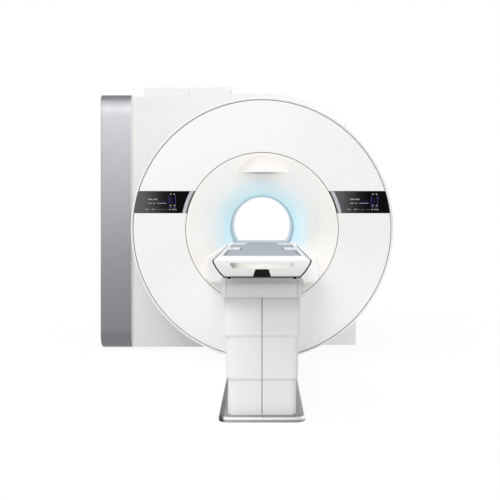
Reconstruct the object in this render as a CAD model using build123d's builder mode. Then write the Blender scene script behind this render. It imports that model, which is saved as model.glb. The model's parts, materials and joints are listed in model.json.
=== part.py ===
from build123d import *
from math import atan, degrees, radians, sin, cos, sqrt
import os

# A magnetic resonance scanner with its patient table, in millimetres. The origin is on the floor
# under the middle of the patient bore. X is to the right and Z is up, seen from the foot of the
# table, which is towards -Y. A place along Y is a depth behind the bore's middle.
os.makedirs("parts", exist_ok=True)

# Running and fitting clearances
seat_gap = 0.3  # between curved or loose pieces that seat on each other
slide_gap = 0.5  # between pieces that slide past each other
key_gap = 0.3  # round a key and behind its plate
pin_gap = 0.05  # round a trunnion

# Patient bore, from the funnel's throat at the front to the rear funnel
iso_height = 1160
bore_radius = 300
liner_wall = 8
bore_front = -350
bore_rear = 848
light_ring_width = 12
light_ring_depth = 12

# Magnet and coils
vessel_radius = 800
vessel_bore = 475
vessel_half = 600
vessel_wall = 12
vessel_end = 20
helium_gap = 45  # vacuum between the two vessels
helium_lug_radius = 14
helium_lugs = 8
turret_x = -500
turret_y = 250
turret_radius = 90
turret_rise = 1170  # its top above the bore's axis
cold_head_radius = 60
cold_head_height = 160
cold_head_fins = 5
gradient_wall = 74
gradient_half = 495
rf_tube_radius = 358
rf_tube_wall = 6
rf_half = 400
rf_ring_width = 20
rf_rungs = 16
rf_rung_width = 14
rf_rung_height = 4

# Front ring of covers
ring_front = -950
ring_outer = 1120
ring_inner = 663
ring_seam = 6  # width of each round seam
panel_depth = 45
panel_skin = 8
panel_flange = 6
panel_gap = 2
band_bottom = 137  # display band, above the bore's axis
band_top = 326
strip_outer = 704.5
strip_skin = 5
seal_recess = 6
frame_plate = 12
frame_holes = 10
frame_hole_radius = 120
post_radius = 20
post_inset = 60  # on the magnet's front face

# Keys of the two strips
keys_per_side = 5
key_pitch = 35
key_radius = 11
key_flange = 1.5
key_flange_depth = 2.5
key_stand = 2  # how far a key stands out of its strip

# Drum behind the ring
drum_rim = 20  # outside the ring's seam
drum_wall = 8
drum_lip_depth = 20
drum_lip_round = 6
drum_flange = 20

# Front funnel and its brow
funnel_wall = 12
funnel_skirt = 8
funnel_rim_width = 12
funnel_rim_round = 18
brow_height = 492.5  # the ledge above the bore's axis
brow_half = 233.5
brow_reach = 150  # how far the brow stands out of the funnel
brow_round = 8
brow_blend = 15  # where its sides run into the funnel

# Rear funnel and rear cover
rear_face = 950
rear_mouth = 410
rear_flange = 455
rear_flange_depth = 6
rear_depth = 150
rear_round = 30

# Body behind the drum: a cabinet on the left, and the magnet's cover, which is set back
cabinet_front = -375
cabinet_left = -1224
cabinet_rise = 1234  # its top above the bore's axis
cabinet_round = 20
nose_right = 0  # where the cabinet's front ends above the drum
vault_front = -278
vault_left = -298
vault_right = 900
vault_upper_right = 810  # above the waist
vault_waist = 300  # half the height of the slope between the two
vault_waist_round = 400
vault_rise = 138  # outside the drum
vault_flat = 3
vault_corner = 60
vault_round = 50
vault_lip = 20  # left of the vault's side wall under the cabinet's top
cover_bottom = 38
cover_wall = 6
back_panel_thickness = 8
magnet_clearance = 12
side_panel_width = 289
side_panel_front = -400
side_panel_rear = 850
side_panel_bottom = 20
side_panel_rise = 12
side_panel_front_round = 130
side_panel_rear_round = 60
side_panel_edge_round = 12
side_panel_wall = 5
side_panel_return = 110

# Covers on top of the body
service_left = -1149
service_seam = -710
service_right = -301
service_front = -100
service_rear = 700
service_height = 126
service_wall = 5
service_round = 20
service_gap = 2

# Floor frame under the magnet and the covers
rail_x = 320
rail_width = 140
rail_front = -260
rail_rear = 560
bar_width = 60
bar_depths = (0, 480)
saddle_depths = (-170, 420)
saddle_length = 160

# Dock between the table and the bore
dock_front = -1250
dock_wall = 8
dock_round = 18
dock_height = 279.5
dock_half = 470
dock_shoulder_height = 55.5
dock_shoulder_width = 15
dock_shoulder_slope = 7
dock_side_height = 145  # from the bottom to where the side leans in
dock_lean_height = 218
dock_lean = 15
dock_chin_height = 268
dock_chin = 98
dock_side_round = 20
dock_foot_round = 45
dock_slope_start = -1000
dock_slope_end = -640
deck_drop = 165.5  # below the bore's axis
deck_half = 243
bridge_wall = 8
bridge_rear = 800

# Table base and telescopic column
plate_front = -2934
plate_half = 273
plate_thickness = 34
plate_margin = 56  # from the plate's edge to the lowest column shell
plate_corner = 65
plate_edge_round = 12
column_length = 1200  # the lowest shell
column_half = 216
column_step = 12  # each shell is this much larger than the one below it
column_wall = 5
column_corner = 40
column_groove = 5
column_groove_depth = 3
lift_travel = 450  # the middle shell moves half as far as the table
lower_shell_top = 360
shell_clearance = 5  # between the middle shell and the plate when the table is lowest
middle_shell_top = 615
upper_shell_overlap = 78  # over the middle shell when the table is highest

# Telescopic mast inside the column
mast_width = 200
mast_wall = 8
mast_lower_top = 368
mast_middle_clearance = 3  # above the plate when the table is lowest
mast_middle_top = 612
mast_upper_clearance = 36
mast_flange = 8
lift_drive_radius = 42
lift_drive_height = 210

# Table chassis and its housing
chassis_height = 62
chassis_rear = -1320
crown_thickness = 8
beam_inner = 120
beam_outer = 200
beam_height = 40
crossbars = 5
crossbar_width = 60
housing_front_y = -2953
housing_rear = -1290
housing_height = 155
housing_waist_drop = 70
housing_half = 268
housing_bottom_half = 255
housing_top_half = 229
housing_wall = 5
housing_corner = 48
housing_seam_x = 220
housing_seam = 2
housing_front_depth = 60
motor_length = 190
motor_width = 240
motor_height = 70
motor_round = 6

# Tabletop
top_front = -3230
top_rear = -1270
cap_depth = 78
top_depth = 60.5  # from the deck down to its underside
tip_half = 282
tip_rise = 84  # heights from here on are above the tabletop's underside
tip_height = 12
foot_half = 221
cap_bulge = 5  # of the sides between the foot and the tips
rail_inner = 237.5
rail_ledge = 190
rail_height = 106
rail_wall = 5
cap_top_half = 237
cap_height = 117
cap_round = 26
slot_top_half = 193
slot_bottom_half = 172
slot_top_rise = 79
slot_bottom_rise = 47
slot_depth = 45
slot_round = 8
trim_thickness = 7
trim_depth = 60
trim_recess = 2
nub_x = 192
nub_radius = 8
paddle_top_half = 38
paddle_bottom_half = 52
paddle_height = 41
paddle_thickness = 10
paddle_barrel = 5
paddle_pin_radius = 3
paddle_pin_length = 6
paddle_room = 24
paddle_gap = 1

# Cradle, mattress and coil sockets
cradle_half = 235
cradle_thickness = 29
cradle_corner = 30
cradle_edge = 8
cradle_front_gap = 2
mattress_thickness = 30
mattress_half = 230
mattress_neck_half = 128
mattress_neck = 330
head_block_height = 27  # beside the mattress's neck
socket_inner = 154
socket_front = -2405
socket_rear = -2095
socket_gap = 2
socket_height = 28
socket_port_width = 34
socket_port_length = 110
socket_port_depth = 16
socket_port_round = 6

# Places worked out from the sizes above
bore_axis = Axis((0, 0, iso_height), (0, 1, 0))
ring_back = ring_front + panel_depth
drum_radius = ring_outer + drum_rim
vault_radius = drum_radius + vault_rise
vault_top = iso_height + vault_radius - vault_flat
cabinet_top = iso_height + cabinet_rise
side_panel_top = cabinet_top + side_panel_rise
service_top = cabinet_top + service_height
turret_top = iso_height + turret_rise
cold_head_top = turret_top + cold_head_height
post_circle = vessel_radius - post_inset
deck_top = iso_height - deck_drop
dock_bottom = deck_top - dock_height
dock_shoulder_top = deck_top + dock_shoulder_height
top_bottom = deck_top - top_depth
chassis_bottom = top_bottom - chassis_height
housing_bottom = top_bottom - housing_height
housing_waist = top_bottom - housing_waist_drop
tip_low = top_bottom + tip_rise
tip_high = tip_low + tip_height
rail_top = top_bottom + rail_height
cap_top = top_bottom + cap_height
slot_top = top_bottom + slot_top_rise
slot_bottom = top_bottom + slot_bottom_rise
paddle_top = top_bottom + paddle_height
cover_rear = rear_face - rear_depth
panel_outer = ring_outer - ring_seam / 2
panel_inner = ring_inner + ring_seam / 2
lip_inner = ring_outer + ring_seam / 2
rim_outer = ring_inner - ring_seam / 2
liner_front = bore_front + light_ring_depth
helium_outer = vessel_radius - vessel_wall - helium_gap
cradle_bottom = deck_top + slide_gap
cradle_top = cradle_bottom + cradle_thickness
cap_back = top_front + cap_depth
cradle_front = cap_back + cradle_front_gap
column_front = plate_front + plate_margin
column_middle_y = column_front + column_length / 2
plate_length = column_length + 2 * plate_margin
middle_shell_bottom = plate_thickness + shell_clearance + lift_travel / 2
upper_shell_bottom = middle_shell_top - upper_shell_overlap
mast_middle_bottom = plate_thickness + mast_middle_clearance + lift_travel / 2
mast_upper_bottom = plate_thickness + mast_upper_clearance + lift_travel


def across(depth):
    """The upright plane at a depth, its y measured up from the floor. It extrudes to the front."""
    return Plane(origin=(0, depth, 0), x_dir=(1, 0, 0), z_dir=(0, -1, 0))


def across_bore(depth):
    """The upright plane at a depth, with its origin on the bore's axis."""
    return Plane(origin=(0, depth, iso_height), x_dir=(1, 0, 0), z_dir=(0, -1, 0))


def radial():
    """The plane of a turned profile: x is the depth, and y is the radius about the bore's axis."""
    return Plane(origin=(0, 0, iso_height), x_dir=(0, 1, 0), z_dir=(1, 0, 0))


def turned(points):
    """Turn a closed profile of (depth, radius) points about the bore's axis."""
    with BuildPart() as solid:
        with BuildSketch(radial()):
            with BuildLine():
                Polyline(*points, close=True)
            make_face()
        revolve(axis=bore_axis)
    return solid


def save(piece, name):
    """Label a finished piece and write it to its own file."""
    piece.part.label = name
    export_step(piece.part, f"parts/{name}.step")


# The magnet cover's outline, seen from the front: a flat top that runs into an arc about the bore
arc_start = sqrt(vault_radius**2 - (vault_top - iso_height) ** 2)
arc_end = iso_height + sqrt(vault_radius**2 - vault_upper_right**2)
with BuildSketch() as vault_outline:
    with BuildLine():
        Polyline(
            (vault_upper_right, arc_end),
            (vault_upper_right, iso_height + vault_waist),
            (vault_right, iso_height - vault_waist),
            (vault_right, cover_bottom),
            (vault_left, cover_bottom),
            (vault_left, vault_top),
            (arc_start, vault_top),
        )
        ThreePointArc(
            (arc_start, vault_top),
            (vault_radius / 2, iso_height + vault_radius * sqrt(3) / 2),
            (vault_upper_right, arc_end),
        )
    make_face()
    fillet(vault_outline.vertices().sort_by_distance((vault_upper_right, arc_end))[0], vault_corner)
    for corner in ((vault_upper_right, iso_height + vault_waist), (vault_right, iso_height - vault_waist)):
        fillet(vault_outline.vertices().sort_by_distance(corner)[0], vault_waist_round)

# The whole body's outline, with the cabinet
with BuildSketch() as body_outline:
    add(vault_outline.sketch)
    with Locations((cabinet_left, cover_bottom)):
        Rectangle(
            vault_left - cabinet_left,
            cabinet_top - cover_bottom,
            align=(Align.MIN, Align.MIN),
        )


def back_opening(shrink):
    """The magnet cover's front inside its rounded edge, open to the floor and to the cabinet."""
    with BuildSketch(mode=Mode.PRIVATE) as opening:
        add(vault_outline.sketch)
        offset(amount=-vault_round - shrink, mode=Mode.REPLACE)
        with Locations((vault_left, cover_bottom)):
            Rectangle(
                vault_right - vault_left - vault_round - shrink,
                2 * vault_round,
                align=(Align.MIN, Align.MIN),
            )
            Rectangle(
                2 * vault_round,
                vault_top - cover_bottom - vault_round - shrink,
                align=(Align.MIN, Align.MIN),
            )
    return opening


# Floor frame: two rails, cross bars that the covers stand on, and saddles under the magnet
with BuildPart() as floor_frame:
    with BuildSketch(Plane.XY):
        with Locations((-rail_x, (rail_front + rail_rear) / 2), (rail_x, (rail_front + rail_rear) / 2)):
            Rectangle(rail_width, rail_rear - rail_front)
        for depth in bar_depths:
            with Locations(((cabinet_left + vault_right) / 2, depth)):
                Rectangle(vault_right - cabinet_left, bar_width)
    extrude(amount=cover_bottom)
    with BuildSketch(Plane.XY):
        for depth in bar_depths:
            with Locations((cabinet_left, depth)):
                Rectangle(
                    side_panel_width - side_panel_edge_round,
                    bar_width,
                    align=(Align.MAX, Align.CENTER),
                )
    extrude(amount=side_panel_bottom)
    for depth in saddle_depths:
        with BuildSketch(Plane.XY.offset(cover_bottom)):
            with Locations((-rail_x, depth), (rail_x, depth)):
                Rectangle(rail_width, saddle_length)
        extrude(amount=iso_height - cover_bottom - vessel_radius / 2)
    with BuildSketch(across_bore(rail_rear)):
        Circle(vessel_radius + seat_gap)
    extrude(amount=rail_rear - rail_front, mode=Mode.SUBTRACT)
save(floor_frame, "floor_frame")

# Vacuum vessel with its service turret, hollow round the helium vessel
with BuildPart() as vacuum_vessel:
    add(
        turned(
            [
                (-vessel_half, vessel_bore),
                (-vessel_half, vessel_radius),
                (vessel_half, vessel_radius),
                (vessel_half, vessel_bore),
            ]
        ).part
    )
    with BuildSketch(Plane.XY.offset(iso_height + vessel_radius / 2)):
        with Locations((turret_x, turret_y)):
            Circle(turret_radius)
    extrude(amount=turret_top - iso_height - vessel_radius / 2)
    add(
        turned(
            [
                (-vessel_half + vessel_end, vessel_bore + vessel_wall),
                (-vessel_half + vessel_end, vessel_radius - vessel_wall),
                (vessel_half - vessel_end, vessel_radius - vessel_wall),
                (vessel_half - vessel_end, vessel_bore + vessel_wall),
            ]
        ).part,
        mode=Mode.SUBTRACT,
    )
save(vacuum_vessel, "vacuum_vessel")

# Helium vessel with the coil windings in it, held off the vacuum vessel by radial lugs
with BuildPart() as helium_vessel:
    helium_half = vessel_half - vessel_end - helium_gap
    helium_inner = vessel_bore + vessel_wall + helium_gap
    add(
        turned(
            [
                (-helium_half, helium_inner),
                (-helium_half, helium_outer),
                (helium_half, helium_outer),
                (helium_half, helium_inner),
            ]
        ).part
    )
    for lug in range(helium_lugs):
        turn = radians(360 * (lug + 0.5) / helium_lugs)
        outward = (cos(turn), 0, sin(turn))
        foot = (
            (helium_outer - helium_gap) * cos(turn),
            0,
            iso_height + (helium_outer - helium_gap) * sin(turn),
        )
        with BuildSketch(Plane(origin=foot, z_dir=outward)):
            Circle(helium_lug_radius)
        extrude(amount=2 * helium_gap - seat_gap)
save(helium_vessel, "helium_vessel")

# Cold head on the turret: a flanged cylinder with cooling fins
with BuildPart() as cold_head:
    with BuildSketch(Plane.XY.offset(turret_top)):
        with Locations((turret_x, turret_y)):
            Circle(cold_head_radius)
    extrude(amount=cold_head_top - turret_top)
    fin_pitch = (cold_head_top - turret_top) / (cold_head_fins + 1)
    for fin in range(cold_head_fins):
        with BuildSketch(Plane.XY.offset(turret_top + fin * fin_pitch)):
            with Locations((turret_x, turret_y)):
                Circle(cold_head_radius + fin_pitch / 2)
        extrude(amount=fin_pitch / 3)
save(cold_head, "cold_head")

# Gradient coil, cast as a thick tube in the vessel's bore
gradient_outer = vessel_bore - seat_gap
gradient_inner = vessel_bore - gradient_wall
gradient_coil = turned(
    [
        (-gradient_half, gradient_inner),
        (-gradient_half, gradient_outer),
        (gradient_half, gradient_outer),
        (gradient_half, gradient_inner),
    ]
)
save(gradient_coil, "gradient_coil")

# Body coil: a thin tube between two end rings, with copper rungs along it
with BuildPart() as body_rf_coil:
    add(
        turned(
            [
                (-rf_half, rf_tube_radius - rf_tube_wall),
                (-rf_half, gradient_inner - seat_gap),
                (-rf_half + rf_ring_width, gradient_inner - seat_gap),
                (-rf_half + rf_ring_width, rf_tube_radius),
                (rf_half - rf_ring_width, rf_tube_radius),
                (rf_half - rf_ring_width, gradient_inner - seat_gap),
                (rf_half, gradient_inner - seat_gap),
                (rf_half, rf_tube_radius - rf_tube_wall),
            ]
        ).part
    )
    with BuildSketch(across_bore(rf_half - rf_ring_width)):
        with PolarLocations(rf_tube_radius, rf_rungs):
            Rectangle(2 * rf_rung_height, rf_rung_width)
        Circle(rf_tube_radius - rf_tube_wall / 2, mode=Mode.SUBTRACT)
    extrude(amount=2 * (rf_half - rf_ring_width))
save(body_rf_coil, "body_rf_coil")

# Bore liner and the ring light in front of it
bore_liner = turned(
    [
        (liner_front, bore_radius),
        (liner_front, bore_radius + liner_wall),
        (bore_rear, bore_radius + liner_wall),
        (bore_rear, bore_radius),
    ]
)
save(bore_liner, "bore_liner")
light_ring = turned(
    [
        (bore_front, bore_radius),
        (bore_front, bore_radius + light_ring_width),
        (liner_front, bore_radius + light_ring_width),
        (liner_front, bore_radius),
    ]
)
save(light_ring, "light_ring")

# Front funnel: a cone with a rolled rim, a skirt that seats on the cover frame, and a brow on top
rim_inner = rim_outer - funnel_rim_width
funnel_slope = (rim_inner - bore_radius) / (bore_front - ring_front)
skirt_inner = rim_outer - funnel_skirt
cone_end = bore_front - (skirt_inner - bore_radius - funnel_wall) / funnel_slope
ledge_radius = sqrt(brow_height**2 + brow_half**2)
ledge_depth = bore_front - (ledge_radius - bore_radius) / funnel_slope
brow_radius = (brow_half**2 + brow_reach**2) / (2 * brow_reach)
with BuildPart() as front_funnel:
    with BuildSketch(Plane.XY.offset(iso_height + brow_height)):
        with Locations((0, ledge_depth - brow_reach + brow_radius)):
            Circle(brow_radius)
    extrude(amount=rim_outer - brow_height)
    fillet(front_funnel.edges().group_by(Axis.Z)[0], brow_round)
    add(
        turned(
            [
                (ring_front, 0),
                (ring_front, rim_inner + funnel_wall / 2),
                (bore_front, bore_radius + funnel_wall / 2),
                (bore_front, 0),
            ]
        ).part,
        mode=Mode.INTERSECT,
    )
    with BuildSketch(radial()) as funnel_section:
        with BuildLine():
            Polyline(
                (ring_front, rim_outer),
                (ring_front, rim_inner),
                (bore_front, bore_radius),
                (bore_front, bore_radius + funnel_wall),
                (cone_end, skirt_inner),
                (ring_back, skirt_inner),
                (ring_back, rim_outer),
                close=True,
            )
        make_face()
        fillet(funnel_section.vertices().sort_by_distance((ring_front, rim_inner))[0], funnel_rim_round)
    revolve(axis=bore_axis)
    above_ledge = front_funnel.edges().filter_by_position(
        Axis.Z, iso_height + brow_height + brow_round, iso_height + rim_outer
    )
    fillet(above_ledge.filter_by(GeomType.BSPLINE), brow_blend)
save(front_funnel, "front_funnel")

# Rear funnel, flanged over the hole in the rear cover
rear_slope = (rear_mouth - bore_radius) / (rear_face + rear_flange_depth - bore_rear)
rear_funnel = turned(
    [
        (bore_rear, bore_radius),
        (rear_face + rear_flange_depth, rear_mouth),
        (rear_face + rear_flange_depth, rear_flange),
        (rear_face, rear_flange),
        (rear_face, bore_radius + funnel_wall + rear_slope * (rear_face - bore_rear)),
        (bore_rear, bore_radius + funnel_wall),
    ]
)
save(rear_funnel, "rear_funnel")

# Cover frame: a holed ring on posts, which stands on the magnet's front and carries the front covers
with BuildPart() as cover_frame:
    with BuildSketch(across_bore(ring_back + frame_plate)):
        Circle(drum_radius - drum_wall - seat_gap)
        Circle(skirt_inner - seat_gap, mode=Mode.SUBTRACT)
        with PolarLocations((ring_outer + ring_inner) / 2, frame_holes):
            Circle(frame_hole_radius, mode=Mode.SUBTRACT)
    extrude(amount=frame_plate)
    with BuildSketch(across_bore(-vessel_half)):
        with PolarLocations(post_circle, frame_holes, start_angle=180 / frame_holes):
            Circle(post_radius)
    extrude(amount=-vessel_half - ring_back - frame_plate)
save(cover_frame, "cover_frame")


def band_outline(inner, outer, side):
    """The stretch of a ring between the display band's two level edges, on one side of the bore."""
    with BuildSketch() as outline:
        Circle(outer)
        Circle(inner, mode=Mode.SUBTRACT)
        with Locations((side * drum_radius / 2, (band_bottom + band_top) / 2)):
            Rectangle(drum_radius, band_top - band_bottom, mode=Mode.INTERSECT)
    return outline


def cover_panel(outline, skin):
    """A moulded cover: a flat skin with a return flange all round, which seats on the cover frame."""
    with BuildPart() as panel:
        with BuildSketch(across_bore(ring_back)):
            add(outline.sketch)
        extrude(amount=panel_depth)
        with BuildSketch(across_bore(ring_back)):
            add(outline.sketch)
            offset(amount=-panel_flange, mode=Mode.REPLACE)
        extrude(amount=panel_depth - skin, mode=Mode.SUBTRACT)
    return panel


# Upper and lower segments of the ring, cut level above and below the display band
with BuildSketch() as ring_upper_outline:
    Circle(panel_outer)
    Circle(panel_inner, mode=Mode.SUBTRACT)
    with Locations((0, band_top + panel_gap)):
        Rectangle(2 * drum_radius, drum_radius, align=(Align.CENTER, Align.MIN), mode=Mode.INTERSECT)
save(cover_panel(ring_upper_outline, panel_skin), "front_ring_upper")
with BuildSketch() as ring_lower_outline:
    Circle(panel_outer)
    Circle(panel_inner, mode=Mode.SUBTRACT)
    with Locations((0, band_bottom - panel_gap)):
        Rectangle(2 * drum_radius, 2 * drum_radius, align=(Align.CENTER, Align.MAX), mode=Mode.INTERSECT)
save(cover_panel(ring_lower_outline, panel_skin), "front_ring_lower")

# Display glasses and key strips, each side of the bore
strip_middle = (panel_inner + strip_outer) / 2
key_heights = [
    (band_bottom + band_top) / 2 + (key - (keys_per_side - 1) / 2) * key_pitch
    for key in range(keys_per_side)
]
for side, side_name in ((-1, "left"), (1, "right")):
    glass = cover_panel(band_outline(strip_outer + panel_gap, panel_outer, side), panel_skin)
    save(glass, f"{side_name}_display_glass")
    key_places = [(side * sqrt(strip_middle**2 - height**2), height) for height in key_heights]
    with BuildPart() as key_strip:
        add(cover_panel(band_outline(panel_inner, strip_outer, side), strip_skin).part)
        with BuildSketch(across_bore(ring_front + strip_skin)):
            with Locations(*key_places):
                Circle(key_radius + key_gap)
        extrude(amount=strip_skin, mode=Mode.SUBTRACT)
    save(key_strip, f"{side_name}_key_strip")
    for number, place in enumerate(key_places, start=1):
        with BuildPart() as key_cap:
            flange_front = ring_front + strip_skin + key_gap
            with BuildSketch(across_bore(flange_front)):
                with Locations(place):
                    Circle(key_radius)
            extrude(amount=strip_skin + key_gap + key_stand)
            with BuildSketch(across_bore(flange_front + key_flange_depth)):
                with Locations(place):
                    Circle(key_radius + key_flange)
            extrude(amount=key_flange_depth)
        save(key_cap, f"{side_name}_key_{number}")

# Seals in the two round seams
for name, inner, outer in (
    ("outer_seal", panel_outer + seat_gap, lip_inner - seat_gap),
    ("inner_seal", rim_outer + seat_gap, panel_inner - seat_gap),
):
    seal = turned(
        [
            (ring_front + seal_recess, inner),
            (ring_front + seal_recess, outer),
            (ring_back, outer),
            (ring_back, inner),
        ]
    )
    save(seal, name)

# Drum: the rolled lip round the ring, its wall, and the flange that seats on the back panel
with BuildPart() as drum_cover:
    with BuildSketch(radial()) as drum_section:
        with BuildLine():
            Polyline(
                (ring_front, lip_inner),
                (ring_front, drum_radius),
                (vault_front, drum_radius),
                (vault_front, drum_radius - drum_flange),
                (vault_front - drum_wall, drum_radius - drum_flange),
                (vault_front - drum_wall, drum_radius - drum_wall),
                (ring_front + drum_lip_depth, drum_radius - drum_wall),
                (ring_front + drum_lip_depth, lip_inner),
                close=True,
            )
        make_face()
        fillet(drum_section.vertices().group_by(Axis.X)[0], drum_lip_round)
    revolve(axis=bore_axis)
save(drum_cover, "drum_cover")

# Back panel: it closes the drum's back and the magnet cover's front, with a hole for the magnet
with BuildPart() as body_front_panel:
    with BuildSketch(across(vault_front + back_panel_thickness)):
        add(back_opening(seat_gap).sketch)
        with Locations((0, iso_height)):
            Circle(drum_radius)
            Circle(vessel_radius + magnet_clearance, mode=Mode.SUBTRACT)
    extrude(amount=back_panel_thickness)
save(body_front_panel, "body_front_panel")

# Cabinet cover: a shell with a nose in front of the magnet cover, cut out round the drum
with BuildPart() as body_cover_left:
    with BuildSketch(Plane.XY.offset(cover_bottom)):
        with Locations((cabinet_left, cabinet_front)):
            Rectangle(vault_left - cabinet_left, cover_rear - cabinet_front, align=(Align.MIN, Align.MIN))
            Rectangle(nose_right - cabinet_left, vault_front - cabinet_front, align=(Align.MIN, Align.MIN))
    extrude(amount=cabinet_top - cover_bottom)
    fillet(body_cover_left.faces().sort_by(Axis.Y)[0].edges().sort_by(Axis.Z)[1:], cabinet_round)
    bottom = body_cover_left.faces().sort_by(Axis.Z)[0]
    rear_end = body_cover_left.faces().sort_by(Axis.Y)[-1]
    inner_side = body_cover_left.faces().sort_by_distance((vault_left, cover_rear / 2, iso_height))[0]
    nose_back = body_cover_left.faces().sort_by_distance((vault_left / 2, vault_front, iso_height))[0]
    offset(amount=-cover_wall, openings=[bottom, rear_end, inner_side, nose_back])
    with BuildSketch(across_bore(vault_front)):
        Circle(drum_radius + seat_gap)
    extrude(amount=vault_front - cabinet_front, mode=Mode.SUBTRACT)
    with BuildSketch(Plane.XY.offset(cabinet_top - 2 * cover_wall)):
        with Locations((turret_x, turret_y)):
            Circle(turret_radius + magnet_clearance)
    extrude(amount=3 * cover_wall, mode=Mode.SUBTRACT)
save(body_cover_left, "body_cover_left")

# Magnet cover: a shell with a rounded front edge, open to the cabinet under the cabinet's top
with BuildPart() as body_cover_right:
    with BuildSketch(across(cover_rear)):
        add(vault_outline.sketch)
    extrude(amount=cover_rear - vault_front)
    front_edges = body_cover_right.faces().sort_by(Axis.Y)[0].edges()
    fillet(front_edges.sort_by(Axis.X)[1:].sort_by(Axis.Z)[1:], vault_round)
    bottom = body_cover_right.faces().sort_by(Axis.Z)[0]
    rear_end = body_cover_right.faces().sort_by(Axis.Y)[-1]
    offset(amount=-cover_wall, openings=[bottom, rear_end])
    with BuildSketch(across(vault_front + back_panel_thickness + seat_gap)):
        add(back_opening(0).sketch)
        with Locations((0, iso_height)):
            Circle(drum_radius + seat_gap)
    extrude(amount=back_panel_thickness + seat_gap, mode=Mode.SUBTRACT)
    with BuildSketch(Plane.XY.offset(cover_bottom)):
        with Locations((vault_left, vault_front)):
            Rectangle(cover_wall, cover_rear - vault_front, align=(Align.MIN, Align.MIN))
    extrude(amount=cabinet_top - cover_bottom - vault_lip, mode=Mode.SUBTRACT)
save(body_cover_right, "body_cover_right")

# Rear cover: a shallow moulded tray with a round hole for the rear funnel
with BuildPart() as rear_cover:
    with BuildSketch(across(rear_face)):
        add(body_outline.sketch)
    extrude(amount=rear_depth)
    fillet(rear_cover.faces().sort_by(Axis.Y)[-1].edges(), rear_round)
    offset(amount=-cover_wall, openings=rear_cover.faces().sort_by(Axis.Y)[0])
    with BuildSketch(across_bore(rear_face)):
        Circle(rear_flange - rear_flange_depth - cover_wall)
    extrude(amount=rear_depth, mode=Mode.SUBTRACT)
save(rear_cover, "rear_cover")

# Metal side panel: a deep tray, rounded at its front and rear, with a return flange on the cabinet
with BuildPart() as silver_side_panel:
    side_plane = Plane(origin=(cabinet_left, 0, 0), x_dir=(0, 1, 0), z_dir=(1, 0, 0))
    with BuildSketch(side_plane) as side_section:
        with Locations((side_panel_front, side_panel_bottom)):
            Rectangle(
                side_panel_rear - side_panel_front,
                side_panel_top - side_panel_bottom,
                align=(Align.MIN, Align.MIN),
            )
        fillet(side_section.vertices().group_by(Axis.Y)[0], side_panel_front_round)
        fillet(side_section.vertices().group_by(Axis.Y)[-1], side_panel_rear_round)
    extrude(amount=-side_panel_width)
    fillet(silver_side_panel.faces().sort_by(Axis.X)[0].edges(), side_panel_edge_round)
    offset(amount=-side_panel_wall, openings=silver_side_panel.faces().sort_by(Axis.X)[-1])
    with BuildSketch(side_plane) as side_return:
        add(side_section.sketch_local)
        with BuildSketch(mode=Mode.PRIVATE) as side_opening:
            add(side_section.sketch_local)
            offset(amount=-side_panel_return, mode=Mode.REPLACE)
        add(side_opening.sketch, mode=Mode.SUBTRACT)
    extrude(amount=-side_panel_wall)
save(silver_side_panel, "silver_side_panel")


def service_cover(left, right):
    """A box cover on top of the cabinet, open at the bottom."""
    with BuildPart() as cover:
        with BuildSketch(Plane.XY.offset(cabinet_top)):
            with Locations(((left + right) / 2, (service_front + service_rear) / 2)):
                Rectangle(right - left, service_rear - service_front)
        extrude(amount=service_top - cabinet_top)
        fillet(cover.faces().sort_by(Axis.Z)[-1].edges(), service_round)
        offset(amount=-service_wall, openings=cover.faces().sort_by(Axis.Z)[0])
    return cover


save(service_cover(service_left, service_seam - service_gap / 2), "service_cover_left")
save(service_cover(service_seam + service_gap / 2, service_right), "service_cover_right")

# Dock cowl: a shell with round shoulders beside the deck, let into the funnel and trimmed to it
with BuildSketch() as dock_section:
    with BuildLine():
        Polyline(
            (0, dock_bottom),
            (dock_half, dock_bottom),
            (dock_half, dock_bottom + dock_side_height),
            (dock_half - dock_lean, dock_bottom + dock_lean_height),
            (dock_half - dock_chin, dock_bottom + dock_chin_height),
            (deck_half + dock_shoulder_slope + dock_shoulder_width, dock_shoulder_top),
            (deck_half + dock_shoulder_slope, dock_shoulder_top),
            (deck_half, deck_top),
            (0, deck_top),
            close=True,
        )
    make_face()
    side_corners = dock_section.vertices().group_by(Axis.X)
    fillet(side_corners[-1].sort_by(Axis.Y)[0], dock_foot_round)
    for corner in (
        (dock_half, dock_bottom + dock_side_height),
        (dock_half - dock_lean, dock_bottom + dock_lean_height),
        (dock_half - dock_chin, dock_bottom + dock_chin_height),
    ):
        fillet(dock_section.vertices().sort_by_distance(corner)[0], dock_side_round)
    mirror(about=Plane.YZ)
with BuildPart() as dock_cowl:
    with BuildSketch(across(bore_front)):
        add(dock_section.sketch)
    extrude(amount=bore_front - dock_front)
    shoulder_half = deck_half + dock_shoulder_slope + dock_shoulder_width
    rounded = dock_cowl.faces().sort_by(Axis.Y)[0].edges()
    fillet(
        rounded.filter_by(lambda e: abs(e.center().X) > shoulder_half or e.center().Z < deck_top - dock_wall),
        dock_round,
    )
    with BuildSketch(across(bore_front)):
        add(dock_section.sketch)
        offset(amount=-dock_wall, mode=Mode.REPLACE)
    extrude(amount=bore_front - dock_front - dock_wall, mode=Mode.SUBTRACT)
    with BuildSketch(Plane.YZ):
        with BuildLine():
            Polyline(
                (dock_slope_start, dock_shoulder_top),
                (dock_slope_end, deck_top),
                (bore_front, deck_top),
                (bore_front, dock_shoulder_top + dock_shoulder_slope),
                (dock_slope_start, dock_shoulder_top + dock_shoulder_slope),
                close=True,
            )
        make_face()
    extrude(amount=dock_half, both=True, mode=Mode.SUBTRACT)
    add(
        turned(
            [
                (dock_front, 0),
                (dock_front, drum_radius),
                (ring_front - seat_gap, drum_radius),
                (ring_front - seat_gap, rim_inner - seat_gap),
                (bore_front - seat_gap, bore_radius - seat_gap),
                (bore_front - seat_gap, 0),
            ]
        ).part,
        mode=Mode.INTERSECT,
    )
save(dock_cowl, "dock_cowl")

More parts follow.
